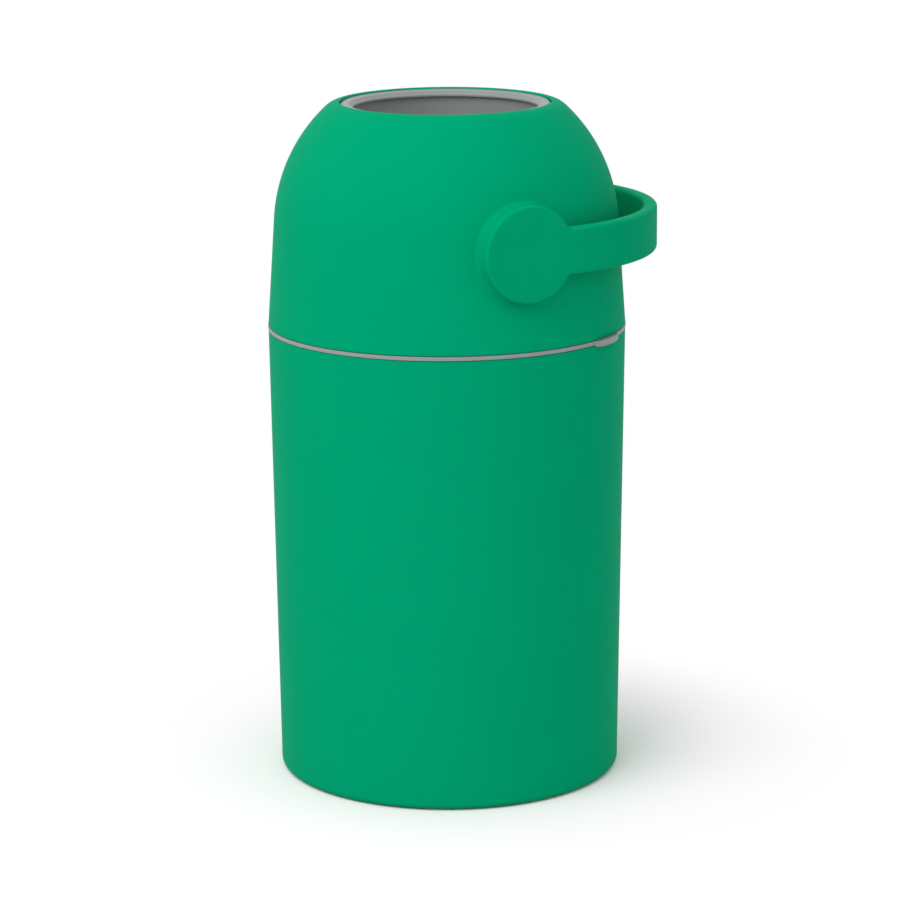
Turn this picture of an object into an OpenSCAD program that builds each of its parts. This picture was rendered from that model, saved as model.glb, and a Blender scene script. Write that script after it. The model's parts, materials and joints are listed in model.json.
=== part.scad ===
// Nappy bin: a tapered tub, a lift-off bag ring and a domed lid that holds a ball drum.
// The drum has a straight chute through it and turns with the bail handle, from the back
// over the top to the front. A weighted piston slides in the chute and pushes the nappy out.
// The origin is the centre of the base, +Z is up, and the handle turns about the X axis.

/* [Tub] */
// Height of the tub from the floor to its outer rim
tub_h = 319.6; // [220:0.1:420]
// Outer radius of the tub and lid where they meet
rim_r = 126; // [110:0.5:160]
// How much smaller the tub is at the floor than at the rim
tub_taper = 4.4; // [0:0.1:12]
// Wall of the tub
tub_wall = 2.6; // [1.6:0.1:4]
// Thickness of the tub's floor
floor_t = 3; // [2:0.1:6]
// Rounding of the tub's lower outer edge
foot_edge_r = 4; // [1:0.5:8]

/* [Non-slip base] */
// Radius of the rubber disc under the tub
base_pad_r = 106; // [80:1:106]
// Thickness of the rubber disc
base_pad_t = 2.2; // [1.5:0.1:4]
// How far the disc stands out below the tub
base_pad_proud = 0.8; // [0.3:0.1:1.2]

/* [Bag ring] */
// Height of the grey band that shows between tub and lid
band_h = 2.6; // [2:0.1:6]
// How far the band stands out from the rim
band_proud = 0.3; // [0:0.1:1]
// Width of the ring's flange, inwards from the rim
flange_w = 14; // [11:0.5:16]
// Depth of the skirt that hangs in the tub
skirt_h = 24; // [10:1:60]
// Wall of the skirt
skirt_t = 2.1; // [1.5:0.1:3]
// Direction of the thumb tab, from +X towards +Y
tab_angle = 35.4; // [0:0.1:90]
// Width of the tab along the band
tab_w = 34; // [20:1:50]
// How far the tab hangs below the band
tab_drop = 4; // [2:0.5:8]
// How far the tab stands out from the band
tab_proud = 3; // [1.5:0.5:6]

/* [Lid] */
// Height of the straight part of the lid
lid_side_h = 75.2; // [70:0.1:95]
// Lean of the straight part, in degrees
lid_lean = 3.9; // [1:0.1:6]
// How far the crown's arc is centred off the axis
crown_offset = 5; // [2:0.5:7]
// Rounding between the crown and the mouth
edge_r = 15.2; // [8:0.1:18]
// Radius of the hole in the top
mouth_r = 73.9; // [60:0.1:90]
// Wall of the lid
lid_wall = 2.8; // [2:0.1:3.2]

/* [Handle] */
// Radius of the round hub faces
hub_r = 33.2; // [31:0.1:38]
// Thickness of the hub disc
hub_t = 7.4; // [6:0.1:12]
// Width of the strap
strap_w = 32; // [20:0.5:40]
// Thickness of the strap
strap_t = 9.8; // [6:0.1:11]
// Straight run of the strap from the hub axis
strap_run = 18.4; // [14:0.1:40]
// Rounding of the strap's long edges
strap_edge_r = 2.8; // [1:0.1:4]

/* [Drum] */
// Wall of the ball shells
drum_wall = 2.4; // [1.8:0.1:3.2]
// Width of the grey lip round the chute's mouth
lip_w = 7.8; // [6.5:0.1:10]
// Thickness of the lip
lip_t = 4.1; // [3:0.1:5]
// Drop from the lid's top to the top of the lip
lip_drop = 1.4; // [1:0.1:2.5]
// How far the lip reaches over the sleeve's bore, which keeps the piston in
lip_catch = 2.7; // [2:0.1:3.5]
// Wall of the chute sleeve
sleeve_wall = 2.2; // [1.6:0.1:3]

/* [Piston] */
// Height of the piston between its two end faces
piston_h = 62; // [45:1:90]
// Wall of the piston
piston_wall = 5; // [4.5:0.1:8]
// Radius of the steel weight
weight_r = 45; // [20:1:48]
// Thickness of the steel weight
weight_t = 8; // [4:1:20]

/* [Hub bearings] */
// Radius of the drive hub's journal
journal_r = 14; // [12.5:0.5:15]
// Wall of the bush
bush_wall = 2; // [1.5:0.1:2.5]
// Side of the square drive between hub and handle
drive_w = 16; // [12:0.5:17]

/* [Screws] */
// Shank radius of the two hub screws
hub_screw_r = 2.5; // [2:0.1:3]
// Shank radius of the other screws
screw_r = 2; // [1.5:0.1:2.2]
// Number of screws in the lid's base plate
plate_screw_count = 6; // [3:1:8]
// Number of screws that join the ball shells
drum_screw_count = 4; // [4:4:8]
// Number of screws in the piston's cap
cap_screw_count = 3; // [3:1:6]

/* [Clearances] */
// Height of the shadow gap above and below the grey band
shadow_gap = 0.5; // [0.3:0.1:1]
// Depth of the shadow gap
shadow_depth = 1; // [0.6:0.1:1.4]
// Gap between a spigot or skirt and the wall that it fits in
slip_gap = 0.4; // [0.3:0.05:0.6]
// Gap between the ball and the lid's thin mouth edge
drum_gap = 0.7; // [0.4:0.1:1.2]
// Gap round the lip in the lid's mouth
mouth_gap = 1.2; // [0.8:0.1:2]
// Gap between a wiper or piston seal and what it slides on
wiper_gap = 0.3; // [0.3:0.05:0.5]
// Gap between the handle's hub disc and the boss on the lid
hub_gap = 0.4; // [0.3:0.05:0.8]
// Radial clearance of the journal in its bush
running_gap = 0.06; // [0.02:0.01:0.1]
// Radial clearance of pieces that are fastened together
fit_gap = 0.05; // [0.03:0.01:0.1]

/* [Colours] */
// Moulded green plastic
green = [0, 0.62, 0.44];
// Moulded grey plastic
grey = [0.66, 0.68, 0.67];
// Dark rubber
rubber = [0.16, 0.17, 0.17];
// Pale acetal
acetal = [0.9, 0.9, 0.87];
// Zinc-plated steel
steel = [0.75, 0.76, 0.78];

/* [Hidden] */
$fn = 96;
// Sides of the largest circles, which thin pieces follow
fine = 480;
// Straight pieces in each rounded stretch of an outline
arc_steps = 14;
// Overlap that lets cuts run past a face, and joined shapes sink into each other
eps = 0.5;
// Longer than anything in the bin, for cuts that run right through
far = 700;

// Tub
band_z = tub_h + shadow_gap;
band_top = band_z + band_h;
tub_floor_z = base_pad_t + floor_t;
foot_r = rim_r - tub_taper;
// Rounding between the floor and the wall, inside
inner_corner_r = 6;
// Outer radius of the tub at a height
function tub_r(z) = foot_r + tub_taper * z / tub_h;

// Bag ring
flange_inner_r = rim_r - flange_w;
skirt_r = tub_r(band_z - skirt_h) - tub_wall - slip_gap;
// How far the tab's lens runs on past its ends, and how deep it starts in the band
tab_spare = 2;
tab_root = 2;
// Rib under the flange's inner edge
ring_rib_w = 2;
ring_rib_h = 6;

// Lid
lid_z = band_top + shadow_gap;
lid_side_top = lid_z + lid_side_h;
side_top_r = rim_r - lid_side_h * tan(lid_lean);
crown_r = (side_top_r - crown_offset) / cos(lid_lean);
hub_z = lid_side_top - crown_r * sin(lid_lean);
crown_end = acos((mouth_r - crown_offset) / (crown_r - edge_r));
edge_z = hub_z + (crown_r - edge_r) * sin(crown_end);
lid_top = edge_z + edge_r;
// Outer radius of the lid's straight part at a height
function lid_r(z) = rim_r - (z - lid_z) * tan(lid_lean);

// Lid's base plate, with the gasket between it and the bag ring's flange
plate_gap = 1.5;
plate_z = band_top + plate_gap;
plate_t = 3;
plate_top = plate_z + plate_t;
plate_r = lid_r(plate_top) - lid_wall / cos(lid_lean) - fit_gap;
// Spigot that hangs from the plate and centres it in the bag ring
spigot_r = flange_inner_r - slip_gap;
spigot_t = 2.2;
spigot_h = 12;
gasket_w = 4;
gasket_inner_r = flange_inner_r + 2;
gasket_sink = 1.2;

// Ball drum, in heights from the hub axis
lip_r = mouth_r - mouth_gap;
lip_top = lid_top - hub_z - lip_drop;
lip_under = lip_top - lip_t;
drum_r = norm([lip_r, lip_top]);
drum_inner_r = drum_r - drum_wall;
chute_r = lip_r - lip_w;
bore_r = chute_r + lip_catch;
sleeve_r = bore_r + sleeve_wall;
// Rounding of the lip's inner edge, and the width and height that it takes
lip_edge_r = 2.6;
lip_edge_w = 4;
lip_edge_h = 3;
// How far the lip's root runs into the ball's wall
lip_root = 2;
// Collar that holds the end of the sleeve
collar_wall = 2.2;
collar_r = sleeve_r + fit_gap + collar_wall;
collar_h = 9;
// Thicker band where the two shells meet
rim_band = 4.4;
rim_band_h = 3;

// Plate edge and wiper beside the ball
function ball_r_at(z) = sqrt(drum_r * drum_r - (z - hub_z) * (z - hub_z));
plate_ball_gap = 3.5;
plate_inner_r = ball_r_at(plate_top) + plate_ball_gap;
base_wiper_t = 1;
base_wiper_grip = 2.8;
mouth_wiper_in = 4;
mouth_wiper_w = 6;

// Screws and posts that hold the base plate, in the room between its wiper and its spigot
plate_screw_start = 30;
post_gap = 0.25;
screw_room_inner = plate_inner_r + base_wiper_grip;
screw_room_outer = spigot_r - spigot_t;
plate_screw_at = (screw_room_inner + screw_room_outer) / 2;
plate_post_r = (screw_room_outer - screw_room_inner) / 2 - post_gap;
plate_screw_head_r = 0.8 * plate_post_r;
plate_screw_head_h = 2.4;
plate_post_h = 7;
plate_post_roof = 1;
plate_post_top = plate_top + plate_post_h;
plate_rib_t = 3;

// Hub bosses on the lid, in distances from the centre along X
boss_proud = 0.3;
boss_root = 9;
boss_x = lid_r(hub_z - hub_r) + boss_proud;
boss_wall = 2.6;
bush_r = journal_r + running_gap + bush_wall;
bush_flange_w = 4;
bush_flange_t = 1.6;
bush_flange_r = bush_r + bush_flange_w;
bush_tube_wall = 4;
bush_tube_r = bush_r + bush_tube_wall;
bush_ball_gap = 0.9;
bush_inner_x = drum_r + bush_ball_gap;
hub_x = boss_x + hub_gap;
face_x = hub_x + hub_t;

// Drive hubs, which carry the drum and turn the handle's square spigots
drive_reach = 15.7;
drive_inner_x = drum_r - drive_reach;
drive_flange_t = 5;
drive_flange_rim = 4;
drive_flange_w = 2 * (journal_r + drive_flange_rim);
drive_end_gap = 0.2;
drive_outer_x = boss_x - drive_end_gap;
socket_floor_in = 0.5;
socket_x = drum_r - socket_floor_in;
spigot_end_gap = 0.4;
spigot_x = socket_x + spigot_end_gap;
// Pocket and housing in the ball shells that hold a drive hub
housing_wall = 3.5;
housing_end_t = 3;
housing_sink = 0.4;
// Screw and washer that hold the handle from inside, and what they leave of the hub face
hub_screw_head_r = 4.6;
hub_screw_head_h = 3.5;
hub_washer_r = 6.5;
hub_washer_t = 1.2;
hub_face_skin = 3.5;
hub_screw_tip_gap = 1;
hub_screw_tip_x = face_x - hub_face_skin - hub_screw_tip_gap;

// Stops inside the boss: a lug on the drum runs between two pegs on the lid
stop_at = (bush_tube_r + hub_r - boss_wall) / 2;
lug_r = 3;
lug_root = 4.5;
lug_end_gap = 2;
lug_angle = 12;
lug_x = boss_x - boss_wall - lug_end_gap;
peg_r = 2.4;
peg_reach = 0.6;
peg_x = drum_r - peg_reach;
peg_step = 2 * asin((lug_r + peg_r + wiper_gap) / (2 * stop_at));

// Handle
strap_arc_r = face_x - strap_t / 2;
hub_edge_r = 1.6;
boss_clear_r = hub_r + hub_gap;

// Room round a screw's shank and head where it isn't gripped, and past its tip
screw_free_gap = 0.3;
head_free_gap = 0.4;
tip_gap = 2;

// Screws that join the ball shells
drum_screw_start = 45;
drum_post_r = 6;
drum_screw_at = (collar_r + drum_inner_r) / 2;
drum_screw_head_r = 3.6;
drum_screw_head_h = 3;
drum_screw_seat = 18;
drum_screw_grip = 12;

// Piston, in heights from its lower end face
piston_gap = 0.7;
piston_r = bore_r - piston_gap;
seal_r = bore_r - wiper_gap;
seal_h = 4;
seal_depth = 2.4;
seal_from_end = 6;
end_t = 3;
// Pads on both end faces, which reach into the chute's lips
pad_gap = 0.6;
pad_drop = 0.7;
pad_r = chute_r - pad_gap;
pad_h = lip_t - pad_drop;
rest_gap = 0.1;
piston_z = hub_z - lip_under + rest_gap;
cap_screw_in = 8;
cap_screw_at = pad_r - cap_screw_in;
cap_screw_hole_l = 12;
cap_screw_tip_gap = 1;
cap_screw_l = end_t + cap_screw_hole_l - cap_screw_tip_gap;
cap_screw_head_r = 3.6;
cap_screw_head_h = 2;
piston_post_r = 4;
// Wall round the weight's seat
weight_wall = 2;

// Points along an arc about c, from angle a to angle b
function arc(c, r, a, b) =
    [for (i = [0 : arc_steps]) let (t = a + (b - a) * i / arc_steps) c + r * [cos(t), sin(t)]];

// The list in the other order
function turned(list) = [for (i = [len(list) - 1 : -1 : 0]) list[i]];

// Rectangle about the origin with round corners
module round_bar(w, h, r) {
    square([w - 2 * r, h], center = true);
    square([w, h - 2 * r], center = true);
    for (x = [-1, 1], y = [-1, 1])
        translate([x * (w / 2 - r), y * (h / 2 - r)])
            circle(r);
}

// Cylinder along X from one x to another, at hub height
module along_x(r, x1, x2) {
    translate([x1, 0, hub_z])
        rotate([0, 90, 0])
            cylinder(r = r, h = x2 - x1);
}

// The children on both sides of the bin, drawn for +X and mirrored to -X
module both_sides() {
    children();
    mirror([1, 0, 0])
        children();
}

// The children repeated round the Z axis
module ring_of(count, radius, start = 0) {
    for (i = [0 : count - 1])
        rotate(start + 360 * i / count)
            translate([radius, 0, 0])
                children();
}

// Pan-head screw, head down, with its head's underside at z = 0
module screw(r, length, head_r, head_h) {
    translate([0, 0, -head_h])
        difference() {
            cylinder(r = head_r, h = head_h);
            translate([0, 0, -eps])
                cylinder(r = r, h = head_h / 2 + eps, $fn = 6);
        }
    translate([0, 0, -head_h / 4])
        cylinder(r = r, h = length + head_h / 4);
}

// Tub and base

module tub() {
    outer = concat(
        arc([tub_r(0) - foot_edge_r, base_pad_proud + foot_edge_r], foot_edge_r, -90, 0),
        [[rim_r, tub_h], [rim_r - shadow_depth, tub_h], [rim_r - shadow_depth, band_z]]
    );
    corner = [tub_r(tub_floor_z) - tub_wall - inner_corner_r, tub_floor_z + inner_corner_r];
    inner = concat(
        [[rim_r - tub_wall, band_z]],
        arc(corner, inner_corner_r, 0, -90),
        [[0, tub_floor_z], [0, base_pad_t], [base_pad_r + fit_gap, base_pad_t]],
        [[base_pad_r + fit_gap, base_pad_proud]]
    );
    color(green)
        rotate_extrude()
            polygon(concat(outer, inner));
}

module non_slip_base() {
    color(rubber)
        cylinder(r = base_pad_r, h = base_pad_t);
}

// Bag ring, which the liner bag is folded over

module bag_ring() {
    color(grey) {
        rotate_extrude() {
            translate([flange_inner_r, band_z])
                square([flange_w + band_proud, band_h]);
            translate([skirt_r - skirt_t, band_z - skirt_h])
                square([skirt_t, skirt_h + eps]);
            translate([flange_inner_r, band_z - ring_rib_h])
                square([ring_rib_w, ring_rib_h + eps]);
        }
        thumb_tab();
    }
}

// Lens seen from above and a low arc seen from outside, hung over the tub's rim
module thumb_tab() {
    reach = rim_r + band_proud + tab_proud;
    half = tab_w / 2 + tab_spare;
    depth = reach - sqrt(pow(rim_r + band_proud, 2) - half * half);
    lens_r = (half * half + depth * depth) / (2 * depth);
    drop_r = (pow(tab_w / 2, 2) + tab_drop * tab_drop) / (2 * tab_drop);
    low = band_z - tab_drop;
    rotate(tab_angle)
        difference() {
            intersection() {
                translate([reach - lens_r, 0, low])
                    cylinder(r = lens_r, h = band_top - low);
                translate([rim_r - tab_root, 0, low + drop_r])
                    rotate([0, 90, 0])
                        cylinder(r = drop_r, h = far);
            }
            translate([0, 0, low - eps])
                cylinder(r = rim_r + slip_gap, h = tab_drop + eps);
            translate([0, 0, low])
                cylinder(r = rim_r - shadow_depth, h = far);
        }
}

// Lid

// Outline of the lid from its rim up to the mouth, moved in by a wall
function lid_line(wall) = concat(
    [[rim_r - wall / cos(lid_lean), lid_z]],
    arc([crown_offset, hub_z], crown_r - wall, lid_lean, crown_end),
    arc([mouth_r, edge_z], edge_r - wall, crown_end, 90)
);

module lid_section() {
    difference() {
        polygon(concat(lid_line(0), turned(lid_line(lid_wall))));
        translate([0, hub_z])
            circle(drum_r + drum_gap, $fn = fine);
    }
    translate([rim_r - lid_wall / cos(lid_lean), band_top])
        square([lid_wall / cos(lid_lean) - shadow_depth, shadow_gap + eps]);
}

module lid_shell() {
    color(green)
        difference() {
            union() {
                rotate_extrude()
                    lid_section();
                both_sides()
                    hub_boss();
                ring_of(plate_screw_count, 0, plate_screw_start)
                    plate_post();
            }
            both_sides()
                hub_boss_bore();
            ring_of(plate_screw_count, plate_screw_at, plate_screw_start)
                translate([0, 0, plate_z])
                    cylinder(r = screw_r + fit_gap, h = plate_post_top - plate_post_roof - plate_z);
        }
}

// Boss that carries the bush, hollow behind its face, with two stop pegs inside
module hub_boss() {
    difference() {
        along_x(hub_r, boss_x - boss_wall - boss_root, boss_x);
        along_x(hub_r - boss_wall, 0, boss_x - boss_wall);
        rotate_extrude()
            polygon(concat([[0, lid_z]], lid_line(lid_wall / 2), [[0, lid_top]]));
    }
    along_x(bush_tube_r, bush_inner_x, boss_x);
    for (a = [lug_angle - peg_step, 180 + lug_angle + peg_step])
        translate([0, stop_at * cos(a), stop_at * sin(a)])
            along_x(peg_r, peg_x, boss_x - eps);
}

module hub_boss_bore() {
    difference() {
        along_x(hub_r - boss_wall, 0, boss_x - boss_wall);
        along_x(bush_tube_r, 0, far);
        for (a = [lug_angle - peg_step, 180 + lug_angle + peg_step])
            translate([0, stop_at * cos(a), stop_at * sin(a)])
                along_x(peg_r, 0, far);
    }
    along_x(bush_r, 0, far);
    along_x(bush_flange_r, boss_x - bush_flange_t, far);
}

// Post for one screw of the base plate, held by a rib that grows out of the lid's wall
module plate_post() {
    rib_end = lid_r(plate_post_top) - lid_wall / 2;
    translate([plate_screw_at, 0, plate_top])
        cylinder(r = plate_post_r, h = plate_post_h);
    translate([plate_screw_at, -plate_rib_t / 2, plate_top])
        cube([rib_end - plate_screw_at, plate_rib_t, plate_post_h]);
}

module lid_base_plate() {
    color(grey)
        difference() {
            rotate_extrude() {
                difference() {
                    translate([plate_inner_r, plate_z])
                        square([plate_r - plate_inner_r, plate_t]);
                    translate([gasket_inner_r - fit_gap, plate_z - eps])
                        square([gasket_w + 2 * fit_gap, gasket_sink + eps]);
                }
                translate([spigot_r - spigot_t, plate_z - spigot_h])
                    square([spigot_t, spigot_h + eps]);
            }
            ring_of(plate_screw_count, plate_screw_at, plate_screw_start)
                translate([0, 0, plate_z - eps])
                    cylinder(r = screw_r + screw_free_gap, h = plate_t + 2 * eps);
        }
}

module lid_gasket() {
    color(rubber)
        rotate_extrude()
            translate([gasket_inner_r, band_top])
                square([gasket_w, plate_z + gasket_sink - band_top]);
}

module mouth_wiper() {
    color(rubber)
        rotate_extrude()
            difference() {
                intersection() {
                    polygon(concat([[0, lid_z]], lid_line(lid_wall), [[0, lid_top - lid_wall]]));
                    translate([mouth_r + mouth_wiper_in, edge_z - edge_r])
                        square([mouth_wiper_w, 2 * edge_r]);
                }
                translate([0, hub_z])
                    circle(drum_r + wiper_gap, $fn = fine);
            }
}

// Edge seal pushed onto the base plate, with a face that follows the ball
module base_wiper() {
    low = plate_z - base_wiper_t;
    color(rubber)
        rotate_extrude()
            difference() {
                translate([0, low])
                    square([plate_inner_r + base_wiper_grip, plate_t + 2 * base_wiper_t]);
                translate([plate_inner_r, plate_z])
                    square([far, plate_t]);
                translate([0, hub_z])
                    circle(drum_r + wiper_gap, $fn = fine);
            }
}

module base_plate_screws() {
    color(steel)
        ring_of(plate_screw_count, plate_screw_at, plate_screw_start)
            translate([0, 0, plate_z])
                screw(screw_r, plate_t + plate_post_h - tip_gap, plate_screw_head_r, plate_screw_head_h);
}

module hub_bushes() {
    color(acetal)
        both_sides()
            difference() {
                union() {
                    along_x(bush_r, bush_inner_x, boss_x);
                    along_x(bush_flange_r, boss_x - bush_flange_t, boss_x + hub_gap / 4);
                }
                along_x(journal_r + running_gap, 0, far);
            }
}

// Drum

// Section of one ball shell above the hub axis, with its lip and the sleeve's collar
module ball_section() {
    difference() {
        circle(drum_r);
        circle(drum_inner_r);
        translate([-far, -far])
            square([far + lip_r - eps, 2 * far]);
        translate([0, -far])
            square([far, far]);
    }
    polygon(concat(
        [[chute_r, lip_under], [lip_r + lip_root, lip_under], [lip_r, lip_top]],
        arc([chute_r + lip_edge_w, lip_top - lip_edge_r], lip_edge_r, 90, 150),
        [[chute_r, lip_top - lip_edge_h]]
    ));
    translate([sleeve_r + fit_gap, lip_under - collar_h])
        square([collar_r - sleeve_r - fit_gap, collar_h + eps]);
    translate([drum_inner_r - rim_band, 0])
        square([rim_band + drum_wall / 2, rim_band_h]);
}

// Half of the square pocket and round housing that hold a drive hub
module drive_housing() {
    block = drive_flange_w + 2 * housing_wall;
    x2 = drive_inner_x + drive_flange_t + housing_end_t;
    intersection() {
        union() {
            translate([drive_inner_x, -block / 2, 0])
                cube([x2 - drive_inner_x, block, block / 2]);
            rotate([0, 90, 0])
                cylinder(r = journal_r + housing_wall, h = drum_r);
        }
        translate([drive_inner_x, -far / 2, 0])
            cube([far, far, far]);
        sphere(drum_r - housing_sink);
    }
}

module drive_housing_bore() {
    w = drive_flange_w + 2 * fit_gap;
    rotate([0, 90, 0])
        cylinder(r = journal_r + fit_gap, h = far);
    translate([0, -w / 2, -w / 2])
        cube([drive_inner_x + drive_flange_t, w, w]);
}

// One ball shell in heights from the hub axis, open side down
module ball_shell() {
    difference() {
        union() {
            rotate_extrude()
                ball_section();
            both_sides()
                drive_housing();
            intersection() {
                ring_of(drum_screw_count, drum_screw_at, drum_screw_start)
                    cylinder(r = drum_post_r, h = drum_r);
                sphere(drum_r - drum_wall / 2);
            }
        }
        both_sides()
            drive_housing_bore();
    }
}

module drum_upper_shell() {
    color(grey)
        translate([0, 0, hub_z]) {
            difference() {
                ball_shell();
                ring_of(drum_screw_count, drum_screw_at, drum_screw_start)
                    translate([0, 0, -eps])
                        cylinder(r = screw_r + fit_gap, h = drum_screw_grip + tip_gap + eps);
            }
            both_sides()
                stop_lug();
        }
}

// Lug on the ball that runs between the two stop pegs of the lid
module stop_lug() {
    translate([0, stop_at * cos(lug_angle), stop_at * sin(lug_angle)])
        rotate([0, 90, 0])
            translate([0, 0, drum_inner_r - lug_root])
                cylinder(r = lug_r, h = lug_x - drum_inner_r + lug_root);
}

module drum_lower_shell() {
    color(grey)
        translate([0, 0, hub_z])
            mirror([0, 0, 1])
                difference() {
                    ball_shell();
                    ring_of(drum_screw_count, drum_screw_at, drum_screw_start) {
                        translate([0, 0, -eps])
                            cylinder(r = screw_r + screw_free_gap, h = drum_screw_seat + 2 * eps);
                        translate([0, 0, drum_screw_seat])
                            cylinder(r = drum_screw_head_r + head_free_gap, h = drum_r);
                    }
                }
}

module chute_sleeve() {
    color(grey)
        translate([0, 0, hub_z])
            difference() {
                cylinder(r = sleeve_r, h = 2 * lip_under, center = true);
                cylinder(r = bore_r, h = far, center = true);
            }
}

module drum_screws() {
    color(steel)
        ring_of(drum_screw_count, drum_screw_at, drum_screw_start)
            translate([0, 0, hub_z - drum_screw_seat])
                screw(screw_r, drum_screw_seat + drum_screw_grip, drum_screw_head_r, drum_screw_head_h);
}

module drive_hubs() {
    socket_w = drive_w + 2 * fit_gap;
    color(acetal)
        both_sides()
            difference() {
                union() {
                    along_x(journal_r, drive_inner_x, drive_outer_x);
                    translate([drive_inner_x, -drive_flange_w / 2, hub_z - drive_flange_w / 2])
                        cube([drive_flange_t, drive_flange_w, drive_flange_w]);
                }
                translate([socket_x, -socket_w / 2, hub_z - socket_w / 2])
                    cube([far, socket_w, socket_w]);
                along_x(hub_screw_r + fit_gap, 0, far);
            }
}

module hub_washers() {
    color(steel)
        both_sides()
            difference() {
                along_x(hub_washer_r, drive_inner_x - hub_washer_t, drive_inner_x);
                along_x(hub_screw_r + fit_gap, 0, far);
            }
}

module hub_screws() {
    seat_x = drive_inner_x - hub_washer_t;
    color(steel)
        both_sides()
            translate([seat_x, 0, hub_z])
                rotate([0, 90, 0])
                    screw(hub_screw_r, hub_screw_tip_x - seat_x, hub_screw_head_r, hub_screw_head_h);
}

// Handle

module handle() {
    color(green)
        difference() {
            union() {
                difference() {
                    strap();
                    both_sides()
                        along_x(boss_clear_r, 0, hub_x);
                }
                both_sides()
                    hub_disc();
            }
            both_sides()
                along_x(hub_screw_r + fit_gap, 0, face_x - hub_face_skin);
        }
}

// Bail: two straight runs from the hub axis, joined by a half circle
module strap() {
    translate([0, strap_run, hub_z])
        rotate_extrude(angle = 180)
            translate([strap_arc_r, 0])
                round_bar(strap_t, strap_w, strap_edge_r);
    both_sides()
        translate([strap_arc_r, 0, hub_z])
            rotate([-90, 0, 0])
                linear_extrude(strap_run)
                    round_bar(strap_t, strap_w, strap_edge_r);
}

// Hub disc with a soft outer edge, and the square spigot behind it
module hub_disc() {
    translate([hub_x, 0, hub_z])
        rotate([0, 90, 0])
            rotate_extrude()
                polygon(concat(
                    [[0, 0], [hub_r, 0]],
                    arc([hub_r - hub_edge_r, hub_t - hub_edge_r], hub_edge_r, 0, 90),
                    [[0, hub_t]]
                ));
    translate([spigot_x, -drive_w / 2, hub_z - drive_w / 2])
        cube([hub_x - spigot_x + eps, drive_w, drive_w]);
}

// Piston

module piston_body() {
    seat = piston_h - end_t;
    color(grey)
        translate([0, 0, piston_z])
            difference() {
                union() {
                    cylinder(r = piston_r, h = seat);
                    translate([0, 0, -pad_h])
                        cylinder(r = pad_r, h = pad_h + eps);
                }
                difference() {
                    translate([0, 0, end_t])
                        cylinder(r = piston_r - piston_wall, h = far);
                    ring_of(cap_screw_count, cap_screw_at)
                        cylinder(r = piston_post_r, h = seat);
                    difference() {
                        cylinder(r = weight_r + fit_gap + weight_wall, h = end_t + weight_t);
                        cylinder(r = weight_r + fit_gap, h = far);
                    }
                }
                for (z = [seal_from_end, piston_h - seal_from_end - seal_h])
                    translate([0, 0, z])
                        difference() {
                            cylinder(r = far, h = seal_h);
                            cylinder(r = piston_r - seal_depth, h = seal_h);
                        }
                ring_of(cap_screw_count, cap_screw_at)
                    translate([0, 0, seat - cap_screw_hole_l])
                        cylinder(r = screw_r + fit_gap, h = far);
            }
}

module piston_cap() {
    color(grey)
        translate([0, 0, piston_z + piston_h - end_t])
            difference() {
                union() {
                    cylinder(r = piston_r, h = end_t);
                    cylinder(r = pad_r, h = end_t + pad_h);
                }
                ring_of(cap_screw_count, cap_screw_at) {
                    translate([0, 0, -eps])
                        cylinder(r = screw_r + screw_free_gap, h = far);
                    translate([0, 0, end_t])
                        cylinder(r = cap_screw_head_r + head_free_gap, h = far);
                }
            }
}

module piston_weight() {
    color(steel)
        translate([0, 0, piston_z + end_t])
            cylinder(r = weight_r, h = weight_t);
}

module piston_seals() {
    color(rubber)
        for (z = [seal_from_end, piston_h - seal_from_end - seal_h])
            translate([0, 0, piston_z + z])
                difference() {
                    cylinder(r = seal_r, h = seal_h);
                    cylinder(r = piston_r - seal_depth, h = far, center = true);
                }
}

module piston_screws() {
    color(steel)
        ring_of(cap_screw_count, cap_screw_at)
            translate([0, 0, piston_z + piston_h])
                mirror([0, 0, 1])
                    screw(screw_r, cap_screw_l, cap_screw_head_r, cap_screw_head_h);
}

tub();
non_slip_base();
bag_ring();
lid_shell();
lid_base_plate();
lid_gasket();
mouth_wiper();
base_wiper();
base_plate_screws();
hub_bushes();
drum_upper_shell();
drum_lower_shell();
chute_sleeve();
drum_screws();
drive_hubs();
hub_washers();
hub_screws();
handle();
piston_body();
piston_cap();
piston_weight();
piston_seals();
piston_screws();
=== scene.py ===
"""Looks of a nappy bin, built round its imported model, in metres.

A tapered green tub stands on a rubber disc. A grey bag ring with a thumb tab lies on its rim,
and the domed lid sits on the ring. The bail handle turns a ball drum inside the lid, whose
grey chute shows in the lid's mouth. The mouldings that show are modelled here with their
soft edges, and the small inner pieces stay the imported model's own, with finishes of their own.
"""

import json
import logging
import math
from collections.abc import Callable, Sequence
from dataclasses import dataclass
from enum import Enum

import bmesh
import bpy
from mathutils import Matrix, Vector


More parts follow.
